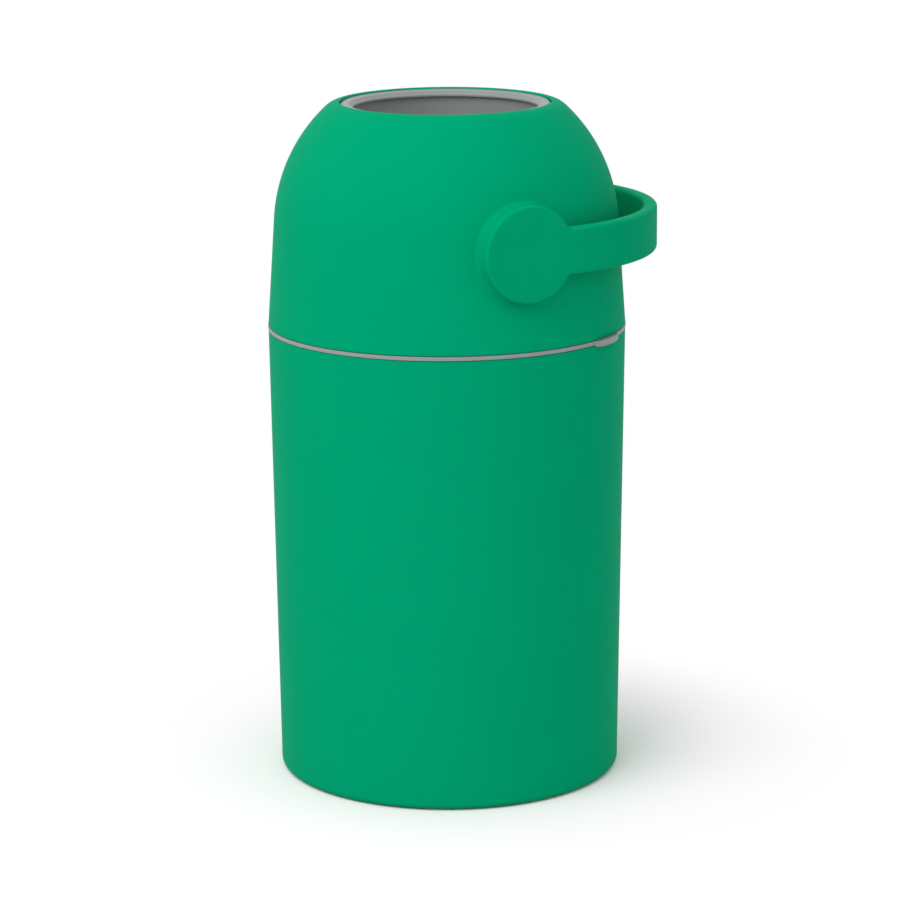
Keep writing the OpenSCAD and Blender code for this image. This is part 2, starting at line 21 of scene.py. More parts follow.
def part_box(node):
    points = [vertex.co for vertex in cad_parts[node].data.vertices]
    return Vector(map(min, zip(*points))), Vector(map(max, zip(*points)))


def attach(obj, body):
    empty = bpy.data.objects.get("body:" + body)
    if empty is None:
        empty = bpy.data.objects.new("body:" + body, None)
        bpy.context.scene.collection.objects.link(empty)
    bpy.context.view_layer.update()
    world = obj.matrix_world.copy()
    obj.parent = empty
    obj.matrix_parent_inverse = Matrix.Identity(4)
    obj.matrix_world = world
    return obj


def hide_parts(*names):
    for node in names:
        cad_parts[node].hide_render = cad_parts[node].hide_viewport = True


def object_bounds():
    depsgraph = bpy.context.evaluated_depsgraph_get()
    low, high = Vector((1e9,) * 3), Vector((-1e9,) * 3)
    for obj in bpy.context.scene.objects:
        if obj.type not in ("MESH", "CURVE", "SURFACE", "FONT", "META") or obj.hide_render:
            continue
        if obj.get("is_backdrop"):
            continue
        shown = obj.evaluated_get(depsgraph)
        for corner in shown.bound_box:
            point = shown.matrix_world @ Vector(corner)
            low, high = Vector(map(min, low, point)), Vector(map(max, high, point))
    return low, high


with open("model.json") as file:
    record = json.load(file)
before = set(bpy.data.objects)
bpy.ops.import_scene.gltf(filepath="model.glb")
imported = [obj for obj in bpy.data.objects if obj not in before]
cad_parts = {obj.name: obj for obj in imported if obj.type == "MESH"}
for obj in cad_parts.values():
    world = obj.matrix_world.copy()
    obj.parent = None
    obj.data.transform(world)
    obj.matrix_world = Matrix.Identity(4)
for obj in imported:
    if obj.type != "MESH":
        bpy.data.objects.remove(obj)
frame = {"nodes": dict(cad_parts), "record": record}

log = logging.getLogger("nappy_bin")

MM = 0.001
TURN = 360.0
HALF_TURN = TURN / 2.0
QUARTER = TURN / 4.0
SHARP_ANGLE = 40.0
MERGE_REACH = 0.002 * MM
LARGEST_CUT = 0.45
HOLD_BY_RADIUS = 0.3
HOLD_BY_SIDE = 0.04
PIN_SIDES = 24
LEAST_WIDTH = 1e-9
FULL_WHITE = (1.0, 1.0, 1.0, 1.0)

Point = tuple[float, float]
Triple = tuple[float, float, float]
Colour = Triple


# Shader sockets and node trees


class Value:
    """A shader socket that Python's operators work on, one Math node for each."""

    def __init__(self, graph: "Graph", socket: bpy.types.NodeSocket) -> None:
        """Wraps a socket.

        Args:
            graph: The node tree that the socket is in.
            socket: An output socket of one of its nodes.
        """
        self.graph = graph
        self.socket = socket

    def maths(self, operation: str, first: "Value | float", second: "Value | float") -> "Value":
        """Adds one Math node.

        Args:
            operation: The node's operation, such as "ADD".
            first: The upper input.
            second: The lower input.

        Returns:
            The node's output.
        """
        return self.graph.node("ShaderNodeMath", {"operation": operation}, {0: first, 1: second})

    def __add__(self, other: "Value | float") -> "Value":
        """Sum."""
        return self.maths("ADD", self, other)

    __radd__ = __add__

    def __sub__(self, other: "Value | float") -> "Value":
        """Difference."""
        return self.maths("SUBTRACT", self, other)

    def __rsub__(self, other: "Value | float") -> "Value":
        """Difference, with the number first."""
        return self.maths("SUBTRACT", other, self)

    def __mul__(self, other: "Value | float") -> "Value":
        """Product."""
        return self.maths("MULTIPLY", self, other)

    __rmul__ = __mul__


class Graph:
    """The node tree of one material or world."""

    def __init__(self, owner: bpy.types.ID) -> None:
        """Empties the owner's node tree.

        Args:
            owner: The material or world.
        """
        owner.use_nodes = True
        self.tree = owner.node_tree
        self.tree.nodes.clear()

    @staticmethod
    def _find(sockets: bpy.types.NodeInputs, key: int | str) -> bpy.types.NodeSocket:
        """Finds a socket.

        Args:
            sockets: A node's inputs or outputs.
            key: A place, an identifier or a name.

        Returns:
            The socket.
        """
        if isinstance(key, int):
            return sockets[key]
        named = [s for s in sockets if s.identifier == key] or [s for s in sockets if s.name == key]
        return named[0]

    def node(
        self,
        kind: str,
        settings: dict[str, object] | None = None,
        inputs: dict[int | str, object] | None = None,
        output: int | str = 0,
    ) -> Value:
        """Adds a node.

        Args:
            kind: The node's type.
            settings: The node's own settings, set first.
            inputs: A number, colour or Value for each named socket.
            output: The output that is wanted.

        Returns:
            That output.
        """
        made = self.tree.nodes.new(kind)
        for name, setting in (settings or {}).items():
            setattr(made, name, setting)
        for key, given in (inputs or {}).items():
            socket = self._find(made.inputs, key)
            if isinstance(given, Value):
                self.tree.links.new(given.socket, socket)
            else:
                socket.default_value = given
        return Value(self, self._find(made.outputs, output))

    def noise(self, where: Value, per_metre: float, detail: float = 2.0) -> Value:
        """Adds noise.

        Args:
            where: The coordinates.
            per_metre: How many lumps lie in a metre.
            detail: How many finer layers are added.

        Returns:
            The noise, from 0 to 1.
        """
        inputs = {"Vector": where, "Scale": per_metre, "Detail": detail, "Roughness": 0.5}
        return self.node("ShaderNodeTexNoise", {"noise_dimensions": "3D"}, inputs)

    def ramp(self, level: Value, stops: Sequence[Point]) -> Value:
        """Adds a grey ramp.

        Args:
            level: What the ramp reads.
            stops: A place and a level for each stop.

        Returns:
            The ramp's grey level.
        """
        made = self.node("ShaderNodeValToRGB", None, {0: level})
        elements = made.socket.node.color_ramp.elements
        while len(elements) < len(stops):
            elements.new(1.0)
        for element, (place, tone) in zip(elements, stops):
            element.position = place
            element.color = (tone, tone, tone, 1.0)
        return made

    def mix(self, share: Value, first: Colour, second: Colour) -> Value:
        """Mixes two colours.

        Args:
            share: How much of the second colour there is.
            first: The colour at 0.
            second: The colour at 1.

        Returns:
            The mixed colour.
        """
        inputs = {"Factor_Float": share, "A_Color": (*first, 1.0), "B_Color": (*second, 1.0)}
        return self.node("ShaderNodeMix", {"data_type": "RGBA"}, inputs, "Result_Color")

    def finish(self, surface: Value, kind: str = "ShaderNodeOutputMaterial") -> None:
        """Joins a shader to the output.

        Args:
            surface: The shader.
            kind: The output node's type.
        """
        made = self.tree.nodes.new(kind)
        self.tree.links.new(surface.socket, made.inputs["Surface"])


# Finishes


class Slot(Enum):
    """The record's material slots."""

    GREEN = "green_plastic"
    GREY = "grey_plastic"
    RUBBER = "rubber"
    ACETAL = "acetal"
    STEEL = "steel"


@dataclass(frozen=True)
class Finish:
    """A moulded, rolled or plated surface with a fine grain.

    Attributes:
        slot: The record's slot that the finish is for.
        colour: Linear colour.
        roughness: Mean roughness.
        tone_spread: How far the colour wanders either way over the piece.
        roughness_spread: How far the roughness wanders either way.
        grain_per_m: Grains in a metre.
        grain_depth: Depth of the grain.
        wave_per_m: Slow waves of the moulding in a metre.
        wave_depth: Depth of those waves.
        metallic: 1 for metal, 0 for the rest.
        specular: Strength of the gloss at a straight look, 0.5 for common plastic.
        tint: Tint of that gloss.
        patches_per_wave: How many smaller patches lie in a slow wave.
        main_share: Share of the larger of two noises that are added.
        stops: How sharply the colour's two tones part.
    """

    slot: Slot
    colour: Colour
    roughness: float
    tone_spread: float = 0.015
    roughness_spread: float = 0.04
    grain_per_m: float = 1500.0
    grain_depth: float = 0.00001
    wave_per_m: float = 22.0
    wave_depth: float = 0.00004
    metallic: float = 0.0
    specular: float = 0.5
    tint: Colour = (1.0, 1.0, 1.0)
    patches_per_wave: float = 4.0
    main_share: float = 0.6
    stops: tuple[Point, ...] = ((0.35, 0.0), (0.65, 1.0))

    def tone(self, change: float) -> Colour:
        """The colour, lighter or darker by a share."""
        return tuple(min(1.0, channel * (1.0 + change)) for channel in self.colour)

    def material(self) -> bpy.types.Material:
        """Builds the material.

        Returns:
            The material.
        """
        made = bpy.data.materials.new(self.slot.value)
        graph = Graph(made)
        where = graph.node("ShaderNodeTexCoord", output="Object")
        cloud = graph.noise(where, self.wave_per_m, detail=1.0)
        patches = graph.noise(where, self.patches_per_wave * self.wave_per_m, detail=3.0)
        grain = graph.noise(where, self.grain_per_m)
        main, rest = self.main_share, 1.0 - self.main_share
        colour = graph.mix(
            graph.ramp(cloud * main + patches * rest, self.stops),
            self.tone(-self.tone_spread),
            self.tone(self.tone_spread),
        )
        wander = patches * main + grain * rest - 0.5
        roughness = wander * (2.0 * self.roughness_spread) + self.roughness
        wave = graph.node(
            "ShaderNodeBump", None, {"Strength": 1.0, "Distance": self.wave_depth, "Height": cloud}
        )
        bump = graph.node(
            "ShaderNodeBump",
            None,
            {"Strength": 1.0, "Distance": self.grain_depth, "Height": grain, "Normal": wave},
        )
        inputs = {
            "Base Color": colour,
            "Roughness": roughness,
            "Metallic": self.metallic,
            "Specular IOR Level": self.specular,
            "Specular Tint": (*self.tint, 1.0),
            "Normal": bump,
        }
        graph.finish(graph.node("ShaderNodeBsdfPrincipled", None, inputs))
        return made


FINISHES = (
    Finish(
        Slot.GREEN, (0.0, 0.362, 0.168), roughness=0.56, grain_depth=0.000012,
        specular=0.01, tint=(0.0, 0.75, 0.55),
    ),
    Finish(Slot.GREY, (0.305, 0.326, 0.318), roughness=0.45, specular=0.25),
    Finish(
        Slot.RUBBER, (0.024, 0.026, 0.026), roughness=0.78, tone_spread=0.12,
        roughness_spread=0.06, grain_per_m=900.0, grain_depth=0.00004,
    ),
    Finish(
        Slot.ACETAL, (0.76, 0.76, 0.71), roughness=0.38, tone_spread=0.01,
        roughness_spread=0.05, grain_per_m=700.0,
    ),
    Finish(
        Slot.STEEL, (0.56, 0.58, 0.61), roughness=0.34, tone_spread=0.05,
        roughness_spread=0.1, grain_per_m=2600.0, metallic=1.0,
    ),
)


class Palette:
    """The materials by slot, and the one way that a piece gets its finish."""

    def __init__(self, finishes: Sequence[Finish]) -> None:
        """Builds a material for each finish.

        Args:
            finishes: The finishes, one for each slot.
        """
        self.materials = {finish.slot: finish.material() for finish in finishes}

    def dress(self, piece: bpy.types.Object, slot: Slot) -> None:
        """Gives a piece its only material.

        Args:
            piece: The piece.
            slot: The record's slot.
        """
        piece.data.materials.clear()
        piece.data.materials.append(self.materials[slot])


# Outlines and meshes


@dataclass(frozen=True)
class Corner:
    """A corner of a turned section.

    Attributes:
        r: Distance from the axis.
        z: Height.
        rounding: Radius that rounds the corner, or 0.
    """

    r: float
    z: float
    rounding: float = 0.0


def arc(centre: Point, radius: float, start: float, end: float, steps: int) -> list[Point]:
    """Points along an arc.

    Args:
        centre: Its centre.
        radius: Its radius.
        start: Its first angle, in degrees.
        end: Its last angle, in degrees.
        steps: How many stretches it has.

    Returns:
        The points, both ends included.
    """
    angles = [math.radians(start + (end - start) * i / steps) for i in range(steps + 1)]
    return [(centre[0] + radius * math.cos(a), centre[1] + radius * math.sin(a)) for a in angles]


def rounded(corners: Sequence[Corner], steps: int = 5) -> list[Point]:
    """Rounds the corners of a closed outline.

    Each rounding is held by a point just outside it, so that the flats beside it stay flat
    when the mesh is shaded smoothly.

    Args:
        corners: The corners in order.
        steps: How many stretches each rounding has.

    Returns:
        The outline's points, as many for every outline with the same roundings.
    """
    points: list[Point] = []
    for i, corner in enumerate(corners):
        here = Vector((corner.r, corner.z))
        if not corner.rounding:
            points.append(tuple(here))
            continue
        before = corners[i - 1]
        after = corners[(i + 1) % len(corners)]
        back = Vector((before.r, before.z)) - here
        on = Vector((after.r, after.z)) - here
        shorter = min(back.length, on.length)
        back.normalize()
        on.normalize()
        half = back.angle(on) / 2.0
        cut = min(corner.rounding / math.tan(half), LARGEST_CUT * shorter)
        radius = cut * math.tan(half)
        hold = min(HOLD_BY_RADIUS * radius, HOLD_BY_SIDE * shorter)
        centre = here + (back + on).normalized() * (radius / math.sin(half))
        first = here + back * cut - centre
        last = here + on * cut - centre
        sweep = first.angle_signed(last)
        points.append(tuple(here + back * (cut + hold)))
        for k in range(steps + 1):
            turned = first.copy()
            turned.rotate(Matrix.Rotation(-sweep * k / steps, 2))
            points.append(tuple(centre + turned))
        points.append(tuple(here + on * (cut + hold)))
    return points


def even_angles(count: int) -> list[float]:
    """Angles in degrees, evenly spaced over a turn."""
    return [TURN * i / count for i in range(count)]


class Solid:
    """A closed mesh while it is being built, in the frame's own metres."""

    def __init__(self) -> None:
        """Starts with no points."""
        self.points: list[Vector] = []
        self.faces: list[tuple[int, ...]] = []

    def add(self, x: float, y: float, z: float) -> int:
        """Adds a point and returns its number."""
        self.points.append(Vector((x, y, z)))
        return len(self.points) - 1

    def band(self, first: Sequence[int], second: Sequence[int], closed: bool = True) -> None:
        """Joins two rows of points with quads.

        Args:
            first: One row.
            second: The other row, as long.
            closed: Whether the rows are rings.
        """
        count = len(first)
        for i in range(count if closed else count - 1):
            k = (i + 1) % count
            self.faces.append((first[i], first[k], second[k], second[i]))

    def rings(
        self,
        section_at: Callable[[float], Sequence[Point]],
        angles: Sequence[float],
        place: Matrix | None = None,
    ) -> list[list[int]]:
        """Adds the points of a section turned round the Z axis, and no faces yet.

        Args:
            section_at: Gives the section at an angle in degrees, as radius and height.
            angles: The angles, in degrees.
            place: Where the axis lies, or None for the frame's own.

        Returns:
            One ring of points for each point of the section.
        """
        rings: list[list[int]] = []
        for angle in angles:
            across = math.radians(angle)
            for row, (r, z) in enumerate(section_at(angle)):
                at = Vector((r * math.cos(across), r * math.sin(across), z))
                if row == len(rings):
                    rings.append([])
                rings[row].append(self.add(*(place @ at if place else at)))
        return rings

    def turn(
        self,
        section_at: Callable[[float], Sequence[Point]],
        angles: Sequence[float],
        place: Matrix | None = None,
    ) -> None:
        """Turns a closed section round the Z axis.

        Args:
            section_at: Gives the section at an angle in degrees.
            angles: The angles, in degrees.
            place: Where the axis lies, or None for the frame's own.
        """
        rings = self.rings(section_at, angles, place)
        for i, ring in enumerate(rings):
            self.band(ring, rings[(i + 1) % len(rings)])

    def build(self, name: str) -> bpy.types.Object:
        """Makes the object.

        Args:
            name: Its name.

        Returns:
            The object, shaded smoothly but for its hard edges.
        """
        mesh = bpy.data.meshes.new(name)
        mesh.from_pydata(self.points, [], self.faces)
        work = bmesh.new()
        work.from_mesh(mesh)
        bmesh.ops.remove_doubles(work, verts=work.verts, dist=MERGE_REACH)
        bmesh.ops.recalc_face_normals(work, faces=work.faces)
        work.to_mesh(mesh)
        work.free()
        mesh.shade_smooth()
        mesh.set_sharp_from_angle(angle=math.radians(SHARP_ANGLE))
        made = bpy.data.objects.new(name, mesh)
        bpy.context.scene.collection.objects.link(made)
        return made


def along_x(hub_z: float, sign: float = 1.0) -> Matrix:
    """A place whose Z axis runs outward along X at the hub's height.

    Args:
        hub_z: The hub's height.
        sign: 1 for the +X side, -1 for the other.

    Returns:
        The place.
    """
    spin = Matrix.Rotation(math.radians(QUARTER) * sign, 4, "Y")
    return Matrix.Translation((0.0, 0.0, hub_z)) @ spin


# Sizes that the pieces share


@dataclass(frozen=True)
class Datum:
    """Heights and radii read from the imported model, in metres.

    Attributes:
        rim_r: Radius of tub and lid where they meet.
        tub_low: Height of the tub's foot.
        band_z: Height of the bag ring's underside, at the tub's rim.
        band_top: Height of the bag ring's top.
        skirt_low: Height of the end of the bag ring's skirt.
        lid_top: Height of the lid's top.
        hub_z: Height of the handle's axis.
        face_x: Distance of the hub faces from the middle.
        ball_r: Radius of the ball drum.
    """

    rim_r: float
    tub_low: float
    band_z: float
    band_top: float
    skirt_low: float
    lid_top: float
    hub_z: float
    face_x: float
    ball_r: float

    @classmethod
    def read(cls) -> "Datum":
        """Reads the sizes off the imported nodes' boxes.

        Returns:
            The sizes.
        """
        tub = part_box("tub")
        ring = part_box("bag_ring")
        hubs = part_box("drive_hubs")
        return cls(
            rim_r=tub[1].x,
            tub_low=tub[0].z,
            band_z=tub[1].z,
            band_top=ring[1].z,
            skirt_low=ring[0].z,
            lid_top=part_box("lid_shell")[1].z,
            hub_z=(hubs[0].z + hubs[1].z) / 2.0,
            face_x=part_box("handle")[1].x,
            ball_r=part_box("drum_lower_shell")[1].y,
        )


# Tub and base


@dataclass(frozen=True)
class Tub:
    """The tub and the rubber disc that it stands on."""

    datum: Datum
    wall: float = 2.6 * MM
    floor_t: float = 3.0 * MM
    taper: float = 4.4 * MM
    foot_edge: float = 4.0 * MM
    inner_edge: float = 6.0 * MM
    rim_edge: float = 0.45 * MM
    step_h: float = 0.5 * MM
    step_in: float = 1.0 * MM
    pad_r: float = 106.0 * MM
    pad_t: float = 2.2 * MM
    pad_gap: float = 0.05 * MM
    pad_edge: float = 0.5 * MM
    groove_step: float = 6.0 * MM
    groove_w: float = 2.0 * MM
    groove_depth: float = 0.7 * MM
    sides: int = 256

    def shell(self) -> bpy.types.Object:
        """Builds the tub.

        Returns:
            The tub's moulding.
        """
        d = self.datum
        low_r = d.rim_r - self.taper
        inner_r = d.rim_r - self.wall
        pocket_r = self.pad_r + self.pad_gap
        rim_z = d.band_z - self.step_h
        edge = self.rim_edge
        section = rounded(
            [
                Corner(0.0, self.pad_t),
                Corner(pocket_r, self.pad_t, edge),
                Corner(pocket_r, d.tub_low, edge),
                Corner(low_r, d.tub_low, self.foot_edge),
                Corner(d.rim_r, rim_z, edge),
                Corner(d.rim_r - self.step_in, rim_z, edge / 3.0),
                Corner(d.rim_r - self.step_in, d.band_z, edge / 3.0),
                Corner(inner_r, d.band_z, edge),
                Corner(low_r - self.wall, self.pad_t + self.floor_t, self.inner_edge),
                Corner(0.0, self.pad_t + self.floor_t),
            ],
            steps=7,
        )
        solid = Solid()
        solid.turn(lambda _: section, even_angles(self.sides))
        return solid.build("tub_moulding")

    def pad(self) -> bpy.types.Object:
        """Builds the non-slip disc, with round grooves in its underside.

        Returns:
            The disc.
        """
        corners = [Corner(0.0, self.pad_t), Corner(0.0, 0.0)]
        start = self.groove_step
        while start + self.groove_step < self.pad_r:
            end = start + self.groove_w
            edge = self.groove_depth / 3.0
            corners += [
                Corner(start, 0.0, edge),
                Corner(start + edge, self.groove_depth, edge),
                Corner(end - edge, self.groove_depth, edge),
                Corner(end, 0.0, edge),
            ]
            start += self.groove_step
        corners += [Corner(self.pad_r, 0.0, self.pad_edge), Corner(self.pad_r, self.pad_t, edge)]
        section = rounded(corners, steps=3)
        solid = Solid()
        solid.turn(lambda _: section, even_angles(self.sides // 2))
        return solid.build("base_pad")


# Bag ring


@dataclass(frozen=True)
class BagRing:
    """The grey ring between tub and lid, with its thumb tab."""

    datum: Datum
    proud: float = 0.3 * MM
    flange_w: float = 14.0 * MM
    skirt_r: float = 122.676 * MM
    skirt_t: float = 2.1 * MM
    rib_w: float = 2.0 * MM
    rib_h: float = 6.0 * MM
    edge: float = 0.5 * MM
    tab_edge: float = 1.0 * MM
    tab_angle: float = 35.4
    tab_w: float = 34.0 * MM
    tab_drop: float = 1.9 * MM
    tab_proud: float = 2.9 * MM
    end_power: float = 3.0
    tub_gap: float = 0.4 * MM
    least_drop: float = 0.05 * MM
    least_lip: float = 0.5 * MM
    tab_reach: float = 10.0
    fine_step: float = 0.2
    coarse_step: float = 1.5

    def tab_shape(self, angle: float) -> Point:
        """How far the tab stands out and hangs down at an angle.

        The tab is a flat lens seen from above and a low bar with round ends seen from outside.

        Args:
            angle: Degrees from the tab's middle.

        Returns:
            The ring's outer radius there, and the drop below the band.
        """
        outer = self.datum.rim_r + self.proud
        across = abs(outer * math.radians(angle)) / (self.tab_w / 2.0)
        if across >= 1.0:
            return outer, self.least_drop
        share = (1.0 - across**self.end_power) ** (1.0 / self.end_power)
        return outer + self.tab_proud * share, max(self.least_drop, self.tab_drop * share)

    def section(self, angle: float) -> list[Point]:
        """The ring's section at an angle.

        Args:
            angle: Degrees from +X towards +Y.

        Returns:
            The closed outline.
        """
        d = self.datum
        away = (angle - self.tab_angle + HALF_TURN) % TURN - HALF_TURN
        outer, drop = self.tab_shape(away)
        low = d.band_z - drop
        inner = min(d.rim_r + self.tub_gap, outer - self.least_lip)
        flange_r = d.rim_r - self.flange_w
        skirt_in = self.skirt_r - self.skirt_t
        return rounded(
            [
                Corner(flange_r, d.band_top, self.edge),
                Corner(outer, d.band_top, self.edge),
                Corner(outer, low, self.tab_edge),
                Corner(inner, low, self.edge),
                Corner(inner, d.band_z, self.edge),
                Corner(self.skirt_r, d.band_z),
                Corner(self.skirt_r, d.skirt_low, self.edge),
                Corner(skirt_in, d.skirt_low, self.edge),
                Corner(skirt_in, d.band_z, self.edge),
                Corner(flange_r + self.rib_w, d.band_z, self.edge),
                Corner(flange_r + self.rib_w, d.band_z - self.rib_h, self.edge),
                Corner(flange_r, d.band_z - self.rib_h, self.edge),
            ],
            steps=4,
        )

    def build(self) -> bpy.types.Object:
        """Builds the ring, with finer steps round its tab.

        Returns:
            The ring's moulding.
        """
        fine = round(2.0 * self.tab_reach / self.fine_step)
        rest = TURN - 2.0 * self.tab_reach
        coarse = round(rest / self.coarse_step)
        start = self.tab_angle - self.tab_reach
        angles = [start + self.fine_step * i for i in range(fine)]
        angles += [self.tab_angle + self.tab_reach + rest * i / coarse for i in range(coarse)]
        solid = Solid()
        solid.turn(self.section, angles)
        return solid.build("bag_ring_moulding")


# Lid


@dataclass(frozen=True)
class Lid:
    """The domed lid: a straight lower part, a round crown, a soft edge and two hub bosses."""

    datum: Datum
    wall: float = 2.8 * MM
    side_h: float = 75.2 * MM
    lean: float = 3.9
    crown_offset: float = 5.0 * MM
    edge_r: float = 15.2 * MM
    mouth_r: float = 73.9 * MM
    mouth_edge: float = 1.2 * MM
    ball_gap: float = 0.7 * MM
    shadow_gap: float = 0.5 * MM
    step_in: float = 1.0 * MM
    rim_edge: float = 0.45 * MM
    rest_gap: float = 0.02 * MM
    hub_r: float = 33.2 * MM
    hub_t: float = 7.4 * MM
    hub_gap: float = 0.15 * MM
    boss_edge: float = 0.1 * MM
    boss_fillet: float = 3.2 * MM
    fillet_share: float = 0.6
    edge_share: float = 0.3
    fillet_reach: float = 2.0 * MM
    boss_wall: float = 2.6 * MM
    boss_depth: float = 2.6 * MM
    bush_r: float = 16.08 * MM
    bush_flange_r: float = 20.08 * MM
    bush_flange_t: float = 1.8 * MM
    bush_end_x: float = 114.8 * MM
    peg_at: float = 25.3 * MM
    peg_r: float = 2.4 * MM
    peg_angles: tuple[float, float] = (-0.9, 204.9)
    peg_x: float = 113.2 * MM
    peg_edge_share: float = 0.2
    post_count: int = 6
    post_start: float = 30.0
    post_at: float = 105.1 * MM
    post_r: float = 3.9 * MM
    post_hole_r: float = 2.05 * MM
    post_low: float = 4.5 * MM
    post_h: float = 7.0 * MM
    post_roof: float = 1.0 * MM
    post_edge: float = 0.3 * MM
    rib_t: float = 3.0 * MM
    side_rows: int = 19
    crown_rows: int = 22
    edge_rows: int = 14
    columns: int = 256
    skin_steps: int = 6
    patch_half_columns: int = 16
    patch_first_row: int = 5
    patch_last_row: int = 30

    @property
    def lid_z(self) -> float:
        """Height of the lid's lower edge."""
        return self.datum.band_top + self.shadow_gap

    @property
    def crown_r(self) -> float:
        """Radius of the crown's arc."""
        lean = math.radians(self.lean)
        top_r = self.datum.rim_r - self.side_h * math.tan(lean)
        return (top_r - self.crown_offset) / math.cos(lean)

    @property
    def boss_x(self) -> float:
        """Distance of the bosses' faces from the middle."""
        return self.datum.face_x - self.hub_t - self.hub_gap

    def radius_at(self, z: float, inset: float) -> float:
        """The lid's radius below its soft edge.

        Args:
            z: The height.
            inset: How far inside the outer surface.

        Returns:
            The radius.
        """
        lean = math.radians(self.lean)
        rise = z - self.datum.hub_z
        crown_r = self.crown_r - inset
        if rise < crown_r * math.sin(lean):
            return self.datum.rim_r - inset / math.cos(lean) - (z - self.lid_z) * math.tan(lean)
        return self.crown_offset + math.sqrt(crown_r**2 - rise**2)

    def line(self, inset: float) -> list[Point]:
        """The outline from the rim to the mouth.

        Args:
            inset: How far inside the outer surface.

        Returns:
            The points, as many for every inset.
        """
        d = self.datum
        lean = math.radians(self.lean)
        crown_r = self.crown_r
        end = math.degrees(math.acos((self.mouth_r - self.crown_offset) / (crown_r - self.edge_r)))
        edge_z = d.hub_z + (crown_r - self.edge_r) * math.sin(math.radians(end))
        top = math.degrees(math.acos(self.mouth_edge / self.edge_r))
        crown = arc((self.crown_offset, d.hub_z), crown_r - inset, self.lean, end, self.crown_rows)
        edge = arc((self.mouth_r, edge_z), self.edge_r - inset, end, top, self.edge_rows)
        foot = (d.rim_r - inset / math.cos(lean), self.lid_z)
        side = [
            tuple(Vector(foot).lerp(Vector(crown[0]), i / self.side_rows))
            for i in range(1, self.side_rows)
        ]
        return side + crown + edge[1:]

    def fillet(self, angle: float) -> list[Point]:
        """The boss's section outside its face, from the crown up to the rounded face edge.

        Args:
            angle: Radians round the hub's axis.

        Returns:
            Distance from the hub's axis and from the lid's middle, for each point.
        """
        reach = self.fillet_reach

        def crown_x(distance: float) -> float:
            """The crown's distance from the middle, at a distance from the hub's axis."""
            return self.surface_x(distance, angle, 0.0)

        slope = (crown_x(self.hub_r + reach) - crown_x(self.hub_r)) / reach
        height = self.boss_x - crown_x(self.hub_r)
        radius = min(self.boss_fillet, self.fillet_share * height)
        steep = math.hypot(1.0, slope)
        centre_r = self.hub_r + radius
        centre_x = crown_x(centre_r) + radius * steep
        tilt = math.degrees(math.atan2(-1.0, slope))
        foot = arc((centre_r, centre_x), radius, tilt, -HALF_TURN, steps=7)
        edge = min(self.boss_edge, self.edge_share * height)
        top = arc((self.hub_r - edge, self.boss_x - edge), edge, 0.0, QUARTER, steps=3)
        return foot + top

    def surface_x(self, distance: float, angle: float, inset: float) -> float:
        """How far the lid's surface lies from the middle, along X.

        Args:
            distance: Distance from the hub's axis.
            angle: Radians round that axis, from +Y towards +Z.
            inset: How far inside the outer surface.

        Returns:
            The distance along X.
        """
        y = distance * math.cos(angle)
        radius = self.radius_at(self.datum.hub_z + distance * math.sin(angle), inset)
        return math.sqrt(radius**2 - y**2)

    def patch(
        self, solid: Solid, rows: Sequence[Sequence[int]], middle: int, inner: bool
    ) -> list[int]:
        """Fills the hole in one skin round a hub with rings that close in on the hub's axis.

        Args:
            solid: The lid's mesh.
            rows: The skin's rings that the hole crosses, from low to high.
            middle: The column at the hub's axis.
            inner: Whether this is the inner skin.

        Returns:
            The last ring, at the bush's bore.
        """
        half = self.patch_half_columns
        columns = [(middle + i) % self.columns for i in range(-half, half + 1)]
        loop = [rows[0][c] for c in columns]
        loop += [row[columns[-1]] for row in rows[1:]]
        loop += [rows[-1][c] for c in reversed(columns[:-1])]
        loop += [row[columns[0]] for row in reversed(rows[1:-1])]
        sign = math.copysign(1.0, solid.points[rows[0][middle]].x)
        inset = self.wall if inner else 0.0
        paths: list[list[Triple]] = []
        for number in loop:
            at = solid.points[number]
            angle = math.atan2(at.z - self.datum.hub_z, at.y)
            start = math.hypot(at.z - self.datum.hub_z, at.y)
            ends = self.pocket(angle) if inner else self.boss(angle)
            run = ends[0][0] - start
            steps = [start + run * k / self.skin_steps for k in range(1, self.skin_steps)]
            path = [(r, self.surface_x(r, angle, inset)) for r in steps] + ends
            paths.append([(r, x, angle) for r, x in path])
        ring = loop
        for k in range(len(paths[0])):
            following = []
            for path in paths:
                r, x, angle = path[k]
                following.append(
                    solid.add(sign * x, r * math.cos(angle), self.datum.hub_z + r * math.sin(angle))
                )
            solid.band(ring, following)
            ring = following
        return ring

    def boss(self, angle: float) -> list[Point]:
        """The boss's outer section at an angle, in to the bush's bore."""
        seat_x = self.boss_x - self.bush_flange_t
        return self.fillet(angle) + [
            (self.bush_flange_r, self.boss_x),
            (self.bush_flange_r, seat_x),
            (self.bush_r, seat_x),
        ]

    def pocket(self, angle: float) -> list[Point]:
        """The boss's inner section at an angle, in to the bush's bore."""
        wall_r = self.hub_r - self.boss_wall
        roof_x = self.boss_x - self.boss_depth
        return [
            (wall_r, self.surface_x(wall_r, angle, self.wall)),
            (wall_r, roof_x),
            (self.bush_flange_r, roof_x),
            (self.bush_flange_r, self.bush_end_x),
            (self.bush_r, self.bush_end_x),
        ]

